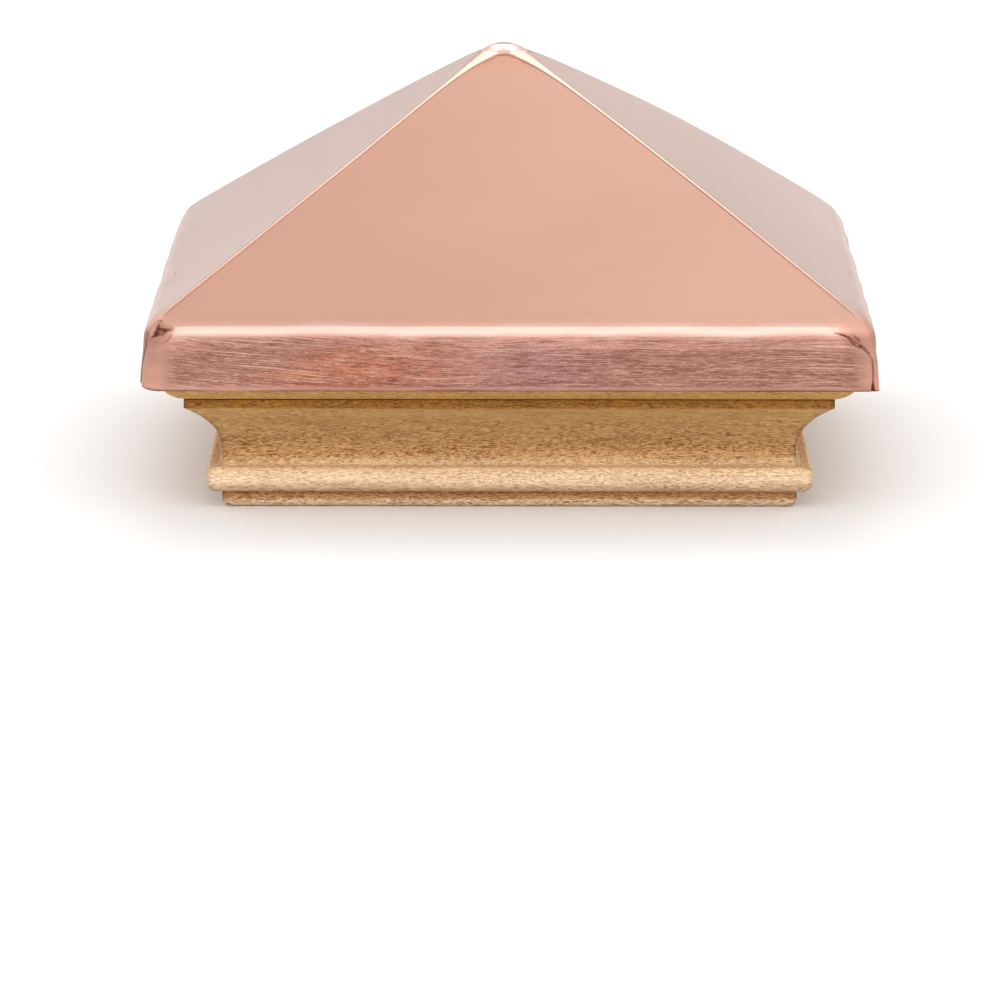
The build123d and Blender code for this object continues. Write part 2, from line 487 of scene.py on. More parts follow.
def copper_material():
    """Bare copper sheet: brush marks along each side, a scuffed skirt that is darker, in part as
    painted shade, heat tints, and painted shade and highlights.

    It reads two vectors from the mesh. sheet is the distance along the side, the distance up
    the section from the hem, and the side's offset. shading_and_wear is painted shading, from
    1 in painted shade, such as in a seam, down to -1 where a highlight is painted, then 1
    where it is smooth instead of brushed, and 1 where it is dull.
    """
    material, tree, shader = new_material("brushed_copper")
    sheet = add_node(tree, "Attribute", attribute_name="sheet").outputs["Vector"]
    along, up, side = add_node(tree, "SeparateXYZ", {0: sheet}).outputs
    shading_and_wear = add_node(tree, "Attribute", attribute_name="shading_and_wear").outputs["Vector"]
    painted_shading, smooth, dull = add_node(tree, "SeparateXYZ", {0: shading_and_wear}).outputs

    # Brush marks droop towards the left end of each side
    left = maths(tree, "MINIMUM", along, 0.0)
    droop = maths(tree, "MULTIPLY", maths(tree, "MULTIPLY", left, left), -0.0009)
    sway = noise(tree, sheet, (30.0, 12.0, 1.0), 1.0, 0.5, 6.1)
    lift = swing(tree, sway, 1.5)
    level = maths(tree, "ADD", maths(tree, "ADD", up, droop), lift)
    brushed = add_node(tree, "CombineXYZ", {0: along, 1: level, 2: side}).outputs[0]
    hairline = noise(tree, brushed, (2.0, 0.125, 1.0), 2.0, 0.6, 1.3)
    scratch = noise(tree, brushed, (3.8, 0.16, 1.0), 3.0, 0.6, 4.1)
    long_line = noise(tree, brushed, (16.0, 0.17, 1.0), 1.0, 0.5, 8.8)
    streak = noise(tree, brushed, (22.0, 1.0, 1.0), 3.0, 0.6, 7.7)
    grit = noise(tree, sheet, (0.3, 0.2, 1.0), 1.0, 0.5, 5.5)
    mottle = noise(tree, sheet, (7.0, 2.4, 1.0), 2.0, 0.55, 3.3)
    patch = noise(tree, sheet, (24.0, 8.0, 1.0), 2.0, 0.5, 2.2)
    cloud = noise(tree, sheet, (40.0, 26.0, 1.0), 2.0, 0.5, 9.4)

    skirt = remap(tree, up, 12.6, 10.2)
    worked = maths(tree, "MULTIPLY", skirt, remap(tree, smooth, 0.0, 1.0, 1.0, 0.06))

    # Slopes: paler towards the right, with faint streaks and a warm peak
    drifting = swing(tree, cloud, 60.0)
    slant = maths(tree, "ADD", along, maths(tree, "MULTIPLY", up, 0.45))
    slant = maths(tree, "ADD", slant, drifting)
    roof_tone = mix_colour(tree, remap(tree, slant, -35.0, 95.0), ROOF_LEFT, ROOF_RIGHT)
    roof_tone = mix_colour(tree, remap(tree, streak, 0.4, 0.75, 0.0, 0.14), roof_tone, ROOF_STREAK)
    roof_tone = mix_colour(tree, remap(tree, up, 80.0, 90.0, 0.0, 0.55), roof_tone, ROOF_WARM)

    # Skirt: tints along each side, darker than the slopes in part as painted shade, and an oval
    # heat stain left of its middle
    wander = swing(tree, patch, 28.0)
    drift = maths(tree, "ADD", along, wander)
    tone = ramp(tree, remap(tree, drift, -70.0, 70.0), SKIRT_TINTS)
    moved = maths(tree, "ADD", drift, maths(tree, "MULTIPLY", side, 0.5))
    across = maths(tree, "DIVIDE", maths(tree, "ADD", moved, 29.0), 15.0)
    above = maths(tree, "DIVIDE", maths(tree, "SUBTRACT", up, 2.0), 7.5)
    across = maths(tree, "MULTIPLY", across, across)
    above = maths(tree, "MULTIPLY", above, above)
    reach = maths(tree, "ADD", across, above)
    tone = mix_colour(tree, remap(tree, reach, 1.5, 0.0, 0.0, 0.52), tone, HEAT_STAIN)

    # Skirt: a painted highlight as a pale band at its top, under the eave's highlight, a hem that
    # is dark on the right and pale on the left, mottle
    for level_mask, spread, colour in (
        (remap(tree, up, 8.0, 9.4), remap(tree, patch, 0.4, 0.6, 0.35, 0.95), SKIRT_PALE),
        (remap(tree, up, 3.6, 0.8), remap(tree, drift, -55.0, -25.0, 0.0, 0.5), SKIRT_DEEP),
        (remap(tree, up, 3.0, 1.4), remap(tree, drift, -30.0, -50.0, 0.0, 0.6), SKIRT_PALE),
    ):
        tone = mix_colour(tree, maths(tree, "MULTIPLY", level_mask, spread), tone, colour)
    tone = mix_colour(tree, remap(tree, mottle, 0.52, 0.3, 0.0, 0.5), tone, SKIRT_DEEP)
    tone = mix_colour(tree, remap(tree, mottle, 0.5, 0.72, 0.0, 0.35), tone, SKIRT_PALE)

    # Skirt: scratches and hairlines, where it isn't smooth
    for height, start, full, strength, colour in (
        (scratch, 0.52, 0.37, 0.66, SCRATCH_DARK),
        (hairline, 0.52, 0.64, 0.48, SCRATCH_LIGHT),
        (long_line, 0.40, 0.29, 0.65, SCRATCH_DARK),
        (long_line, 0.60, 0.72, 0.62, SCRATCH_LIGHT),
        (grit, 0.42, 0.28, 0.4, SCRATCH_DARK),
        (grit, 0.60, 0.72, 0.25, SCRATCH_LIGHT),
    ):
        mask = remap(tree, height, start, full, 0.0, strength)
        tone = mix_colour(tree, maths(tree, "MULTIPLY", mask, worked), tone, colour)
    tone = mix_colour(tree, maths(tree, "MULTIPLY", smooth, 0.75), tone, SMOOTH_TONE)

    tone = mix_colour(tree, skirt, roof_tone, tone)
    # Painted highlights where the painted shading is below 0, painted shade where it is above 0
    tone = mix_colour(tree, remap(tree, painted_shading, 0.0, -1.0), tone, PAINTED_HIGHLIGHT_TONE)
    tone = mix_colour(tree, maths(tree, "MAXIMUM", painted_shading, 0.0), tone, PAINTED_SHADE_TONE)
    tree.links.new(tone, shader.inputs["Base Color"])

    shader.inputs["Metallic"].default_value = 1.0
    shader.inputs["Specular Tint"].default_value = EDGE_TINT
    roof_rough = remap(tree, streak, 0.3, 0.7, 0.215, 0.225)
    skirt_rough = remap(tree, hairline, 0.3, 0.7, 0.28, 0.44)
    rough = add_node(tree, "Mix", {"Factor": worked, 2: roof_rough, 3: skirt_rough}).outputs[0]
    rough = maths(tree, "ADD", rough, maths(tree, "MULTIPLY", dull, 0.26))
    tree.links.new(rough, shader.inputs["Roughness"])

    depth = remap(tree, worked, 0.0, 1.0, 0.008, 0.9)
    relief = bump(tree, hairline, 0.000008, depth)
    relief = bump(tree, scratch, 0.00002, depth, relief)
    tree.links.new(relief, shader.inputs["Normal"])
    return material


PALE_GAIN = (1.12, 1.22, 1.38)  # from light wood to its palest fibres


def wood_material(name, seed, tones, shading_bands):
    """Milled softwood: fibres along the grain, short wavy flecks, and bands by height of painted
    light and shade.

    tones are its light, dark and fleck colours. shading_bands are (height, tint of painted light
    and shade, fleck strength) from the bottom of the moulding to its top.
    """
    light, dark, fleck = tones
    material, tree, shader = new_material(name)
    grain = add_node(tree, "Attribute", attribute_name="grain").outputs["Vector"]
    along, across, height = add_node(tree, "SeparateXYZ", {0: grain}).outputs

    ripple = noise(tree, grain, (9.0, 5.0, 4.5), 2.0, 0.5, seed + 3.1)
    curl = noise(tree, grain, (2.6, 1.5, 1.3), 1.0, 0.5, seed + 6.7)
    lift = swing(tree, ripple, 1.8)
    twist = swing(tree, curl, 0.9)
    lift = maths(tree, "ADD", lift, twist)
    wavy_across = maths(tree, "ADD", across, lift)
    wavy_height = maths(tree, "ADD", height, lift)
    wavy = add_node(tree, "CombineXYZ", {0: along, 1: wavy_across, 2: wavy_height}).outputs[0]
    fibre = noise(tree, wavy, (1.5, 0.15, 0.15), 2.0, 0.6, seed)
    growth = noise(tree, wavy, (70.0, 3.4, 2.4), 3.0, 0.6, seed + 5.0)
    pores = noise(tree, wavy, (1.1, 0.14, 0.14), 1.0, 0.6, seed + 8.0)
    lines = noise(tree, wavy, (16.0, 0.26, 0.26), 2.0, 0.5, seed + 11.0)
    patch = noise(tree, grain, (16.0, 3.0, 2.2), 2.0, 0.5, seed + 1.0)

    if shading_bands:
        level = maths(tree, "DIVIDE", height, FRAME_HEIGHT, clamp=True)
        band = ramp(tree, level, [(h / FRAME_HEIGHT, tint) for h, tint, _ in shading_bands])
        weight = ramp(tree, level, [(h / FRAME_HEIGHT, (w, w, w)) for h, _, w in shading_bands])
    else:
        band, weight = (1.0, 1.0, 1.0), 0.9

    tone = mix_colour(tree, remap(tree, growth, 0.35, 0.65), light, dark)
    pale_tone = tuple(min(1.0, c * g) for c, g in zip(light, PALE_GAIN))
    broken = remap(tree, patch, 0.36, 0.6, 0.25, 1.0)
    pore_mask = maths(tree, "MULTIPLY", remap(tree, pores, 0.53, 0.66, 0.0, 0.85), broken)
    for mask, colour in (
        (remap(tree, fibre, 0.49, 0.62, 0.0, 0.85), fleck),
        (remap(tree, fibre, 0.50, 0.36, 0.0, 0.9), pale_tone),
        (pore_mask, fleck),
        (remap(tree, lines, 0.60, 0.70, 0.0, 0.7), fleck),
    ):
        tone = mix_colour(tree, maths(tree, "MULTIPLY", mask, weight), tone, colour)
    # The bands' painted light and shade
    tone = mix_colour(tree, 1.0, tone, band, "MULTIPLY")
    tree.links.new(tone, shader.inputs["Base Color"])
    tree.links.new(remap(tree, fibre, 0.3, 0.7, 0.5, 0.66), shader.inputs["Roughness"])
    shader.inputs["Specular IOR Level"].default_value = 0.25
    relief = bump(tree, fibre, 0.00006, 0.6)
    relief = bump(tree, maths(tree, "SUBTRACT", 1.0, pore_mask), 0.00010, 0.6, relief)
    tree.links.new(relief, shader.inputs["Normal"])
    return material


def plain_material(name, colour, other, size, metallic, rough_low, rough_high):
    """Mottled material for the hidden pieces: nails, brads, adhesive and inner wood."""
    material, tree, shader = new_material(name)
    place = add_node(tree, "TexCoord").outputs["Object"]
    place = add_node(tree, "Mapping", {"Vector": place, "Scale": (1 / MM,) * 3}).outputs[0]
    mottle = noise(tree, place, size, 4.0, 0.6, 2.0)
    tone = mix_colour(tree, remap(tree, mottle, 0.35, 0.65), colour, other)
    tree.links.new(tone, shader.inputs["Base Color"])
    tree.links.new(remap(tree, mottle, 0.3, 0.7, rough_low, rough_high), shader.inputs["Roughness"])
    shader.inputs["Metallic"].default_value = metallic
    tree.links.new(bump(tree, mottle, 0.0001, 0.5), shader.inputs["Normal"])
    return material


# Copper cover


def side_stations(run):
    """Places along a side from -1 to 1, close together near both corners."""
    fine = np.arange(0, FINE_REACH, FOLD_SPAN) / run
    coarse = np.linspace(FINE_REACH / run, 1, COARSE_COLUMNS + 1)
    start = np.concatenate([fine, coarse]) - 1
    return np.concatenate([start, -start[-2::-1]])


def cover_levels():
    """(half width, height) up the cover's section, from the hem to the peak."""
    nose_height = PEAK_VIRTUAL - NOSE_MESH_HALF * (PEAK_VIRTUAL - EAVE_HEIGHT) / EAVE_HALF
    corners = (
        (HEM_HALF - SHEET, HEM_HEIGHT, 0),
        (HEM_HALF, HEM_HEIGHT, 0.2),
        (EAVE_HALF, EAVE_HEIGHT, EAVE_RADIUS),
        (NOSE_MESH_HALF, nose_height, 0),
        (0, PEAK_VIRTUAL, PEAK_RADIUS),
        (-EAVE_HALF, EAVE_HEIGHT, 0),
    )

    def span(start, end):
        middle = (start[1] + end[1]) / 2
        if middle > PEAK_VIRTUAL - NOSE_MESH_HALF * 0.7:
            return NOSE_SPAN
        if middle > DETAIL_TOP:
            return SLOPE_SPAN
        return FOLD_SPAN if middle > FOLD_BASE else SKIRT_SPAN

    section = rounded_section(corners, span)
    return section[section[:, 0] > TIP_HALF]


def lap(w, z, path, tuck, width):
    """Edge of a flap that lies over the end of the next side's skirt.

    w is the distance from the corner towards the side underneath, and z the height. Returns
    the push along the surface normal, the painted shade in the seam, and the painted highlight,
    which is 0.
    """
    gap, side, run = distance_to_path(w, z, path)

    # It fades in from the start of the path, opens at the step and the hem, and is faint between
    near = smoothstep(14.0, 10.5, w) * smoothstep(-4.0, -2.0, w) * smoothstep(0.0, 2.0, run)
    swollen = bell(z - 34.5, 1.0)
    faint = 1 - 0.5 * smoothstep(32.9, 31.8, z) * smoothstep(26.3, 27.8, z)
    opening = width * (0.6 + 0.4 * swollen + 0.5 * smoothstep(27.6, 26.2, z))
    line = bell(gap, opening) * faint
    under = smoothstep(0.12, -0.22, gap * side)
    push = -0.55 * line - tuck * under * np.exp(-gap / 1.1)
    # Painted shade in the crack between the flap and the skirt under it
    painted_shading = bell(gap, 0.75 * opening) * faint
    painted_highlight = 0 * near
    return push * near, painted_shading * near, painted_highlight


def front_right_fold(w, z):
    """The right side's flap over the front: a stepped crack with painted shade, a small crimp with
    a painted highlight, and a dent with painted shade.
    """
    push, painted_shading, _ = lap(w, z, FRONT_RIGHT_LAP, 0.4, 0.27)
    crimp, _, _ = distance_to_path(w, z, CRIMP)
    push += 0.32 * smoothstep(0.5, 0.12, crimp)
    pocket, _, _ = distance_to_path(w, z, POCKET)
    dent = bell(pocket, 0.26)
    # A painted highlight on the crimp; the dent below gets painted shade
    painted_highlight = 0.9 * smoothstep(0.55, 0.25, crimp)
    return push - 0.25 * dent, np.maximum(painted_shading, 0.45 * dent), painted_highlight


def front_left_fold(w, z):
    """The front's flap over the left side: an open hollow with painted shade in and above it, a
    curled lip and a thin tongue with painted highlights, and painted shade along the seam.
    """
    edge, _, _ = distance_to_path(w, z, HOLLOW_OUTLINE + HOLLOW_OUTLINE[:1])
    inside = inside_polygon(w, z, HOLLOW_OUTLINE)
    depth = np.where(inside, smoothstep(0.0, 0.45, edge), 0.0)
    rim = 1 - depth
    folds = 0.5 + 0.5 * np.sin(2.6 * (z + 0.8 * w) + 2.0 * np.sin(1.3 * w))
    push = -depth * (0.95 + 0.3 * folds)
    # Painted shade in the hollow, streaked along its folds, and a painted shadow above its top edge
    painted_shading = np.where(inside, smoothstep(0.0, 0.16, edge), 0.0) * (0.63 - 0.3 * folds)
    shade, _, _ = distance_to_path(w, z, HOLLOW_TOP)
    painted_shading = np.maximum(painted_shading, 0.42 * bell(shade, 0.5) * smoothstep(-5.2, -3.6, w))

    lip, _, _ = distance_to_path(w, z, HOLLOW_LIP)
    lip_line = bell(lip - 0.2, 0.22) * rim * (1 - inside)
    push += 0.34 * lip_line
    crease, _, _ = distance_to_path(w, z, LIP_CREASE)
    push -= 0.12 * bell(crease, 0.25)
    # Painted shade in the crease under the lip
    painted_shading = np.maximum(painted_shading, 0.4 * bell(crease, 0.16))

    tongue, _, _ = distance_to_path(w, z, TONGUE)
    tongue_line = bell(tongue, 0.36, 4) * rim
    push += 0.3 * tongue_line
    # Less painted shade on the tongue
    painted_shading *= 1 - 0.9 * tongue_line

    seam, side, _ = distance_to_path(w, z, FRONT_LEFT_SEAM)
    opening = 0.26 + 0.16 * smoothstep(36.5, 33.0, z)
    line = bell(seam, opening) * smoothstep(39.1, 38.7, z)
    beyond = smoothstep(-0.1, 0.3, seam * side) * np.exp(-seam / 3.0) * smoothstep(38.4, 37.2, z)
    push -= 0.45 * line + 0.38 * beyond
    # Painted shade along the seam and beyond it, on the side underneath
    beyond_shade = 0.92 * smoothstep(-0.1, 0.2, seam * side) * np.exp(-seam / 1.3)
    beyond_shade *= smoothstep(38.5, 37.0, z)
    # Painted highlights on the lip and the tongue
    painted_highlight = np.maximum(0.9 * lip_line, 0.35 * tongue_line)
    return push, np.maximum.reduce([painted_shading, line, beyond_shade]), painted_highlight


# By corner, in ring order. Each takes the distance from the corner towards the side before
# it in the ring, and the height, and returns what lap does.
FOLDS = (
    front_right_fold,
    lambda w, z: lap(w * 1.15 - 0.2, z - 0.3, FRONT_RIGHT_LAP, 0.4, 0.24),
    lambda w, z: lap(w * 0.9 + 0.3, z + 0.3, FRONT_RIGHT_LAP, 0.4, 0.26),
    front_left_fold,
)


def cover_grid():
    """The cover's plain outside: points and distance along each side, by level and column."""
    levels = cover_levels()
    half, height = levels.T
    slope = smoothstep(35, 40, height)
    hip = HIP_RADIUS + HIP_FLARE * np.exp(-half / 3.2)
    radii = [
        [min(r * (1 - s) + h * s, w * 0.95) for r in CORNER_RADII]
        for s, h, w in zip(slope, hip, half)
    ]
    grid, along = ring_stack(levels, radii, side_stations(EAVE_HALF), ARC_STEPS)
    return levels, np.array(radii), grid, along


def cover_points():
    """The cover's outside with its folds: points, sheet coordinates, and painted shading and wear,
    by level.
    """
    levels, radii, grid, along = cover_grid()
    columns = grid.shape[1]
    per_side = columns // 4
    x, y, z = grid[:, :, 0], grid[:, :, 1], grid[:, :, 2]
    wide = levels[:, :1] + 0 * x
    side_index = (np.arange(columns) // per_side)[None, :] + 0 * z
    side = side_index * SIDE_OFFSET
    is_front = side_index == 0

    # The faces are slightly crowned, and lean with the hand-formed peak
    rise = np.clip((levels[:, 1] - SLOPE_START) / (COVER_TOP - SLOPE_START), 0, 1)[:, None]
    swell = np.sin(math.pi * rise)
    back = y / wide
    shift = (0.75 + 0.25 * back) * swell + PEAK_DRIFT * rise
    push = (0.55 + 0.4 * back) * swell + 0.05 * wave_noise((x, y, z), 46, 5)

    # The skirt and the eave are uneven along each side
    push += 0.09 * wave_noise((along, z * 1.5), 21, 8) * smoothstep(38.5, 34.5, z)
    push += 0.11 * wave_noise((along, side), 19, 21, 2) * bell(z - 37, 2.5)

    # Painted shade in a line round the nose and under the hem, a darker tip, and a painted
    # highlight on the nose
    nose_line_shade = bell(wide - NOSE_HALF - 0.2, 0.3) * (z > DETAIL_TOP)
    painted_shading = np.maximum(0.5 * nose_line_shade, 0.45 * smoothstep(1.7, 1.1, wide))
    painted_highlight = 0.6 * smoothstep(NOSE_HALF + 0.1, NOSE_HALF - 0.5, wide)
    hem_shade = 0.55 + 0.45 * wave_noise((along, side), 30, 12, 2)
    painted_shading = np.maximum(painted_shading, hem_shade * smoothstep(HEM_HEIGHT + 0.35, HEM_HEIGHT + 0.1, z))

    # The bent eave is duller, its front one has a strong painted highlight, and the hem isn't
    # brushed
    bend = smoothstep(40.0, 37.5, z) * smoothstep(33.0, 35.0, z)
    dull = bend * np.where(is_front, 0.35, 0.1)
    smooth = 0.7 * smoothstep(26.6, 26.0, z)
    eave_highlight = np.where(is_front, 0.55, 0.08)

    travelled = np.cumsum(np.linalg.norm(grid - np.roll(grid, 1, axis=1), axis=2), axis=1)
    total = travelled[:, -1:]
    hip_arc = radii[:, :1] * math.pi / 4  # from a hip's ridge to where its rounding ends
    on_hip = wide > NOSE_HALF
    for k, fold in enumerate(FOLDS):
        # Distance round the level to this corner, positive on the side before it
        corner = (k + 1) * per_side - 1 - (ARC_STEPS - 1) // 2
        w = travelled[:, corner : corner + 1] - travelled
        w = np.where(w > total / 2, w - total, w)
        w = np.where(w < -total / 2, w + total, w)

        fold_push, fold_shading, fold_highlight = fold(w, z)
        push += fold_push
        painted_shading = np.maximum(painted_shading, fold_shading)
        painted_highlight = np.maximum(painted_highlight, fold_highlight)
        reach = np.where(w > 0, SQUASH_REACH[k], 4.5)
        squash = bell(z - 35.6, 3.2) * bell(w, reach)
        push -= CORNER_SQUASH[k] * squash

        # Thin lines of painted shade where each hip's rounding ends, and a faint painted highlight
        # on the ridge
        edge = np.abs(np.abs(w) / hip_arc - 1.1) * hip_arc
        hip_line = bell(edge, 0.12 + 0.16 * hip_arc) * np.where(w > 0, 0.55, 0.34)
        painted_shading = np.maximum(painted_shading, hip_line * smoothstep(38.8, 40.5, z) * on_hip)
        ridge = bell(w, 0.9 * hip_arc) * smoothstep(38.0, 41.0, z) * on_hip
        painted_highlight = np.maximum(painted_highlight, 0.15 * ridge)
        nose_ring = (wide > 2.5) * (wide < NOSE_MESH_HALF)
        painted_shading *= 1 - bell(w, 0.9 * hip_arc, 4) * nose_ring

        # A dented, duller patch over the corner, with light painted shade and no eave highlight
        # painted, and no brushing there
        beaten = bell(w, BEATEN_REACH[k], 4) * smoothstep(32.5, 34.5, z)
        beaten *= smoothstep(40.0, 38.0, z)
        push += 0.035 * beaten * wave_noise((w, z), 3.4, 30 + k)
        dull = np.maximum(dull, 1.5 * beaten)
        eave_highlight *= 1 - beaten
        painted_shading = np.maximum(painted_shading, 0.15 * beaten)

        starts, full, fades, ends = SMOOTH_BANDS[k]
        band = smoothstep(starts, full, w) * smoothstep(ends, fades, w)
        smooth = np.maximum(smooth, band * smoothstep(40, 38, z))

        # The right side's flap has a painted highlight along its edge, and the front's flap lifts
        # the hem
        if fold is front_right_fold:
            flap_edge = smoothstep(-0.2, -0.9, w) * smoothstep(-5, -3, w) * (z < 34)
            painted_highlight = np.maximum(painted_highlight, 0.5 * flap_edge)
        if fold is front_left_fold:
            hem_lift = 0.9 * bell(w - 3.0, 2.6)
            hem_lift *= smoothstep(HEM_HEIGHT + 4, HEM_HEIGHT, z)

    grid = grid + grid_normals(grid) * push[:, :, None]
    grid[:, :, 2] += hem_lift
    grid[:, :, 0] += shift
    grid[:, :, 1] += 0.5 * swell
    grid[:, :, :2] = np.clip(grid[:, :, :2], -HEM_HALF, HEM_HALF)
    grid[:, :, 2] = np.clip(grid[:, :, 2], HEM_HEIGHT, COVER_TOP)

    up = np.concatenate([[0], np.cumsum(np.linalg.norm(np.diff(levels, axis=0), axis=1))])
    up = up[:, None] + 0 * z
    # The eaves' painted highlight runs at a wavy height up the section
    bright = 12.2 + 0.5 * wave_noise((along, side), 22, 16, 2)
    painted_highlight = np.maximum(painted_highlight, eave_highlight * bell(up - bright, 1.4))
    sheet = np.stack([along, up, side], axis=2)
    shading_and_wear = np.stack([np.where(painted_shading > 0.06, painted_shading, -painted_highlight), smooth, dull], axis=2)
    return grid, sheet, shading_and_wear


def round_pairs(ring):
    """Each point of a ring with the next one."""
    return list(zip(ring, ring[1:] + ring[:1]))


def ring_faces(lower, upper, keep):
    """Faces between two rings of point numbers, where the upper one has only some columns."""
    kept = np.flatnonzero(keep)
    faces = []
    for i, start in enumerate(kept):
        end = kept[(i + 1) % len(kept)]
        between = [c % len(lower) for c in range(start, start + (end - start) % len(lower) + 1)]
        faces.append((*[lower[c] for c in between], upper[(i + 1) % len(kept)], upper[i]))
    return faces


def copper_cover(material):
    """The folded sheet: fine around the skirt, coarser on the slopes and inside."""
    grid, sheet, shading_and_wear = cover_points()
    rows, columns = grid.shape[:2]
    per_side = columns // 4
    keep = np.zeros(columns, bool)
    keep[::SLOPE_COLUMNS] = True
    for start in range(0, columns, per_side):
        end = start + per_side
        keep[start] = True
        keep[end - ARC_STEPS : end] = False
        keep[end - ARC_STEPS : end : SLOPE_ARC_COLUMNS] = True
    fine_rows = int(np.searchsorted(grid[:, 0, 2], DETAIL_TOP))

    points, sheets, shading_and_wear_rows, rings = [], [], [], []
    count = 0

    def add_ring(p, s, w):
        nonlocal count
        points.append(p)
        sheets.append(s)
        shading_and_wear_rows.append(w)
        rings.append(list(range(count, count + len(p))))
        count += len(p)

    # The rings run down the inside, round the hem and up the outside
    inner_rows = [r for r in range(0, rows, INSIDE_ROWS) if grid[r, 0, 2] < COVER_TOP - 4]
    inside = grid - grid_normals(grid) * SHEET
    inside[:, :, 2] = np.maximum(inside[:, :, 2], HEM_HEIGHT + 0.05)
    for r in reversed(inner_rows):
        add_ring(inside[r, keep], sheet[r, keep], shading_and_wear[r, keep])
    inner_count = len(rings)
    for r in range(rows):
        columns_here = slice(None) if r < fine_rows else keep
        add_ring(grid[r, columns_here], sheet[r, columns_here], shading_and_wear[r, columns_here])
    tip, inner_tip = count, count + 1
    for height in (COVER_TOP, COVER_TOP - 2):
        add_ring(np.array([[PEAK_DRIFT, 0, height]]), sheet[-1:, 0], shading_and_wear[-1:, 0])
    rings = rings[:-2]

    faces = []
    for i, (lower, upper) in enumerate(zip(rings, rings[1:])):
        if len(lower) == len(upper):
            pairs = zip(round_pairs(lower), round_pairs(upper))
            faces += [(a, b, d, c) for (a, b), (c, d) in pairs]
        elif i < inner_count:
            faces += [f[::-1] for f in ring_faces(upper, lower, keep)]
        else:
            faces += ring_faces(lower, upper, keep)
    faces += [(a, b, tip) for a, b in round_pairs(rings[-1])]
    faces += [(b, a, inner_tip) for a, b in round_pairs(rings[0])]
    attributes = {"sheet": np.concatenate(sheets), "shading_and_wear": np.concatenate(shading_and_wear_rows)}
    return make_mesh("copper_cover_sheet", np.concatenate(points), faces, material, attributes)


# Core board


def core_board(material):
    """Board with a rounded lower edge, a seat for the post and slopes under the sheet."""
    slope_run = (BOARD_TOP - BOARD_SIDE_TOP) / BOARD_SLOPE
    outer = rounded_section(
        (
            (SEAT_HALF - 20, BOARD_BASE + SEAT_DEPTH, 0),
            (SEAT_HALF, BOARD_BASE + SEAT_DEPTH, 0.25),
            (SEAT_HALF, BOARD_BASE, 0.3),
            (BOARD_HALF, BOARD_BASE, BOARD_ROUNDOVER),
            (BOARD_HALF, BOARD_SIDE_TOP, 0.8),
            (BOARD_HALF - slope_run, BOARD_TOP, 0.5),
            (20, BOARD_TOP, 0),
        ),
        4.0,
    )
    radii = [[0.5 + BOARD_CORNER * smoothstep(29, 33, z)] * 4 for z in outer[:, 1]]
    grid, _ = ring_stack(outer, radii, np.linspace(-1, 1, 25), 4)
    rows, columns = grid.shape[:2]
    points = grid.reshape(-1, 3)
    faces = grid_faces(rows, columns)
    faces.append(tuple(range(columns))[::-1])
    faces.append(tuple(range((rows - 1) * columns, rows * columns)))
    return make_mesh("core_board_wood", points, faces, material, {"grain": points})


# Moulding frame


def moulding_section():
    """Section of one moulding, anticlockwise from the inside bottom edge."""
    cove = smooth_curve([COVE_GUIDES[0], *COVE, COVE_GUIDES[1]], 4)
    corners = [
        (SOCKET_HALF, 10.0, 0),
        (SOCKET_HALF, 0.0, 0.35),
        (LIP_HALF, 0.0, 1.9),
        (LIP_HALF, BEAD_UNDERSIDE, 0.12),
        (BEAD_HALF, BEAD_UNDERSIDE, 2.4),
        (BEAD_HALF, LEDGE_HEIGHT, 1.0),
        (LIP_HALF, LEDGE_HEIGHT, 1.15),
        *((*point, 0) for point in cove),
        (FILLET_HALF, COVE[-1][1] + 0.12, 0.1),
        (FILLET_HALF, FRAME_HEIGHT, 0.12),
        (SOCKET_HALF, FRAME_HEIGHT, 0.12),
        (SOCKET_HALF, 10.0, 0),
    ]
    return rounded_section(corners, 1.5)[:-1]


def moulding(side, angle, material, seed):
    """One mitred side of the frame."""
    section_half, section_height = moulding_section().T
    a = math.radians(angle)
    out = np.array([math.cos(a), math.sin(a), 0])
    along = np.array([-math.sin(a), math.cos(a), 0])
    run = np.linspace(-1, 1, 81)[:, None] * (section_half - MITRE_GAP)
    height = section_height + 0 * run
    wobble = 0.035 * wave_noise((run, height * 2), 38, seed)
    wobble *= smoothstep(SOCKET_HALF + 2, SOCKET_HALF + 6, section_half)
    half = np.minimum(section_half + wobble, FILLET_HALF)
    points = out * half[..., None] + along * run[..., None]
    points[..., 2] += height
    rows, columns = run.shape
    faces = [f[::-1] for f in grid_faces(rows, columns)]
    faces.append(tuple(range(columns)))
    faces.append(tuple(range((rows - 1) * columns, rows * columns))[::-1])
    grain = np.stack([run + GRAIN_OFFSET * seed, half, height], axis=2).reshape(-1, 3)
    name = f"moulding_{side}_wood"
    return make_mesh(name, points.reshape(-1, 3), faces, material, {"grain": grain})


# Assembly

# Painted light and shade, and figure, of the moulding by height: the lip, lit at its lower edge and
# shaded under the bead, the lit bead and ledge, the cove shaded under the overhang, and the fillet,
# darker as its own grain and as painted shade under the board
RAIL_SHADING_BANDS = (
    (0.0, (0.88, 0.88, 0.87), 0.9),
    (1.4, (0.90, 0.89, 0.87), 0.95),
    (1.9, (0.67, 0.50, 0.33), 1.0),
    (3.2, (0.50, 0.33, 0.165), 1.0),
    (3.6, (0.68, 0.60, 0.53), 0.75),
    (6.0, (1.0, 1.0, 1.0), 0.55),
    (8.6, (1.0, 0.95, 0.84), 0.7),
    (10.0, (0.76, 0.60, 0.39), 1.0),
    (12.2, (0.63, 0.475, 0.285), 1.0),
    (14.5, (0.57, 0.445, 0.262), 0.9),
    (17.5, (0.59, 0.48, 0.285), 0.6),
    (20.4, (0.61, 0.49, 0.285), 0.5),
    (20.8, (0.455, 0.27, 0.052), 1.0),
    (22.3, (0.41, 0.235, 0.042), 1.0),
)

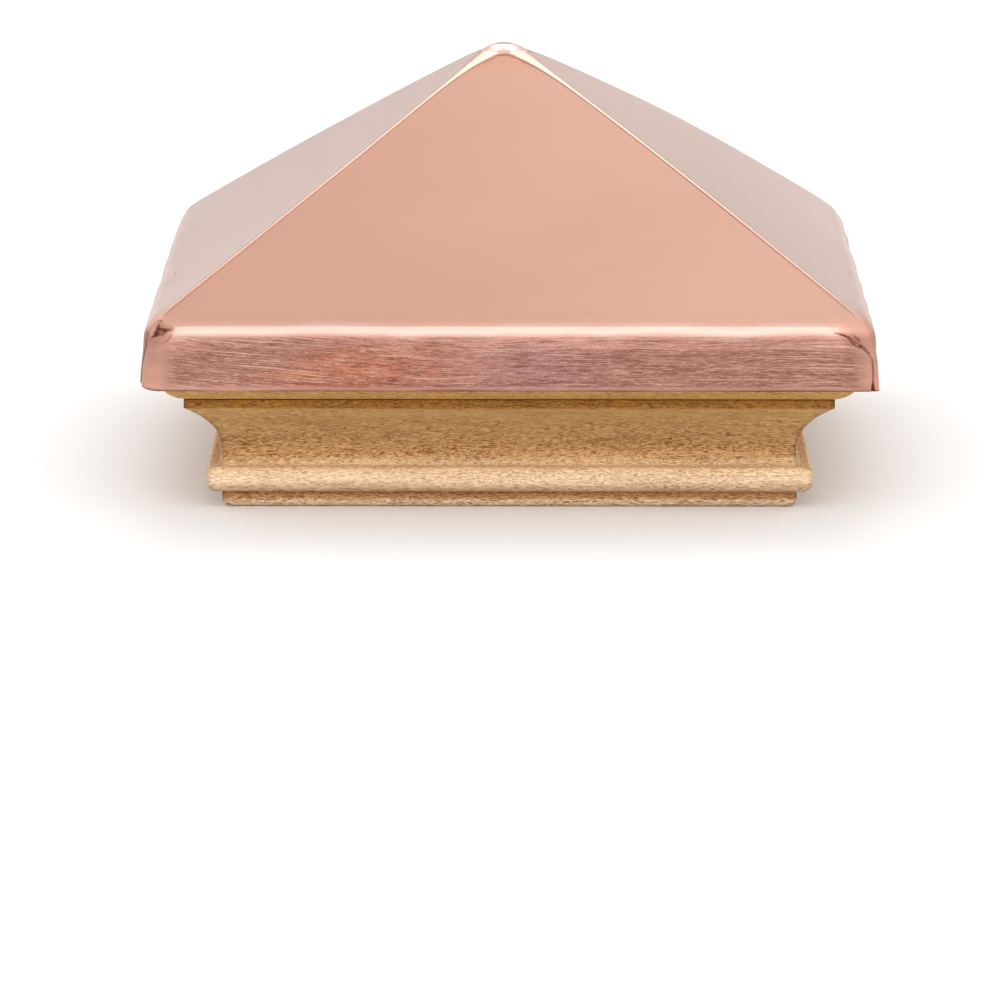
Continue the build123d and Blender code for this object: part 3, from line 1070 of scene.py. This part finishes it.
# Light, dark and fleck colours
MOULDING_TONES = ((0.94, 0.70, 0.47), (0.85, 0.59, 0.35), (0.32, 0.115, 0.03))
BOARD_TONES = ((0.60, 0.335, 0.105), (0.54, 0.29, 0.09), (0.30, 0.13, 0.035))

moulding_wood = wood_material("moulding_wood", 2.0, MOULDING_TONES, RAIL_SHADING_BANDS)
board_wood = wood_material("board_wood", 6.0, BOARD_TONES, None)
galvanised = plain_material(
    "galvanised_steel", (0.55, 0.56, 0.57), (0.42, 0.43, 0.45), (1.2, 1.2, 1.2), 1.0, 0.35, 0.55
)
glue = plain_material(
    "cured_adhesive", (0.52, 0.46, 0.36), (0.44, 0.38, 0.29), (3, 3, 3), 0.0, 0.5, 0.7
)
inner_wood = plain_material(
    "inner_wood", (0.60, 0.43, 0.25), (0.48, 0.31, 0.16), (40, 1.5, 1.5), 0.0, 0.5, 0.7
)

cover = copper_cover(copper_material())
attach(cover, "root")
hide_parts("copper_cover")

board = core_board(board_wood)
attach(board, "root")
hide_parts("core_board")

for seed, (side, angle) in enumerate(SIDE_ANGLES.items()):
    rail = moulding(side, angle, moulding_wood, seed + 1)
    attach(rail, "root")
    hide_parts(f"moulding_{side}")

for node, material in (
    ("core_peak", inner_wood),
    ("frame_nails", galvanised),
    ("mitre_brads", galvanised),
    ("cover_adhesive", glue),
):
    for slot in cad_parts[node].material_slots:
        slot.material = material


# Studio, in metres

FLOOR_HALF = 6
CAP_MIDDLE = 0.04  # the lights point at this height
CAMERA_PLACE = (0.00354, -1.2332, 0.2526)
CAMERA_DOWN = 12.03  # degrees below the horizontal
CAMERA_TURN = 0.259  # degrees
CAMERA_LENS = 226.9  # mm, on a 36 mm sensor


def add_floor():
    """Large plain pale floor."""
    material, tree, shader = new_material("studio_floor")
    place = add_node(tree, "TexCoord").outputs["Object"]
    inputs = {"Vector": place, "Scale": 6.0, "Detail": 2.0}
    mottle = add_node(tree, "TexNoise", inputs).outputs["Fac"]
    tone = mix_colour(tree, mottle, (0.90, 0.90, 0.90), (0.92, 0.92, 0.92))
    tree.links.new(tone, shader.inputs["Base Color"])
    shader.inputs["Roughness"].default_value = 0.9
    mesh = bpy.data.meshes.new("floor")
    corners = [(x * FLOOR_HALF, y * FLOOR_HALF, 0) for x, y in ((-1, -1), (1, -1), (1, 1), (-1, 1))]
    mesh.from_pydata(corners, [], [(0, 1, 2, 3)])
    mesh.materials.append(material)
    floor = bpy.data.objects.new("floor", mesh)
    bpy.context.scene.collection.objects.link(floor)


def add_softbox(name, azimuth, elevation, distance, size, power, glossy=True):
    """Area light that points at the cap. Azimuth 0 is in front of it, 90 to its right.

    A light that is not glossy is a fill: it lights the cap but leaves no highlight on it.
    """
    light = bpy.data.lights.new(name, "AREA")
    light.shape = "RECTANGLE"
    light.size, light.size_y = size
    light.energy = power
    lamp = bpy.data.objects.new(name, light)
    a, e = math.radians(azimuth), math.radians(elevation)
    lamp.location = (
        distance * math.sin(a) * math.cos(e),
        -distance * math.cos(a) * math.cos(e),
        distance * math.sin(e) + CAP_MIDDLE,
    )
    lamp.rotation_euler = (math.pi / 2 - e, 0, a)
    lamp.visible_glossy = glossy
    bpy.context.scene.collection.objects.link(lamp)


def add_world(horizon, overhead):
    """White surroundings, a little darker overhead."""
    world = bpy.data.worlds.new("studio")
    bpy.context.scene.world = world
    world.use_nodes = True
    tree = world.node_tree
    direction = add_node(tree, "TexCoord").outputs["Generated"]
    height = add_node(tree, "SeparateXYZ", {0: direction}).outputs[2]
    background = tree.nodes["Background"]
    background.inputs["Color"].default_value = (1, 1, 1, 1)
    tree.links.new(remap(tree, height, 0.1, 0.8, horizon, overhead), background.inputs["Strength"])


def add_camera():
    """Long lens from in front and a little above."""
    camera = bpy.data.cameras.new("camera")
    camera.sensor_width = 36.0
    camera.lens = CAMERA_LENS
    camera.clip_end = 20.0
    eye = bpy.data.objects.new("camera", camera)
    eye.location = CAMERA_PLACE
    eye.rotation_euler = (math.radians(90 - CAMERA_DOWN), 0, math.radians(CAMERA_TURN))
    bpy.context.scene.collection.objects.link(eye)
    bpy.context.scene.camera = eye


add_floor()
add_world(horizon=0.95, overhead=0.81)
# Azimuth, elevation, distance, size and watts
add_softbox("front_softbox", 0, 44, 4.2, (5.6, 3.6), 28)
add_softbox("front_core", 0, 44, 3.9, (5.6, 1.5), 10)
add_softbox("front_fill", 0, 40, 4.0, (5.6, 3.6), 50, glossy=False)
add_softbox("left_rim_softbox", -125, 45, 3.0, (2.2, 1.2), 4)
add_softbox("right_rim_softbox", 125, 45, 3.0, (2.2, 1.2), 4)
add_softbox("back_softbox", 180, 47, 3.0, (1.7, 1.9), 17)
add_camera()
bpy.context.scene.view_settings.view_transform = "Standard"
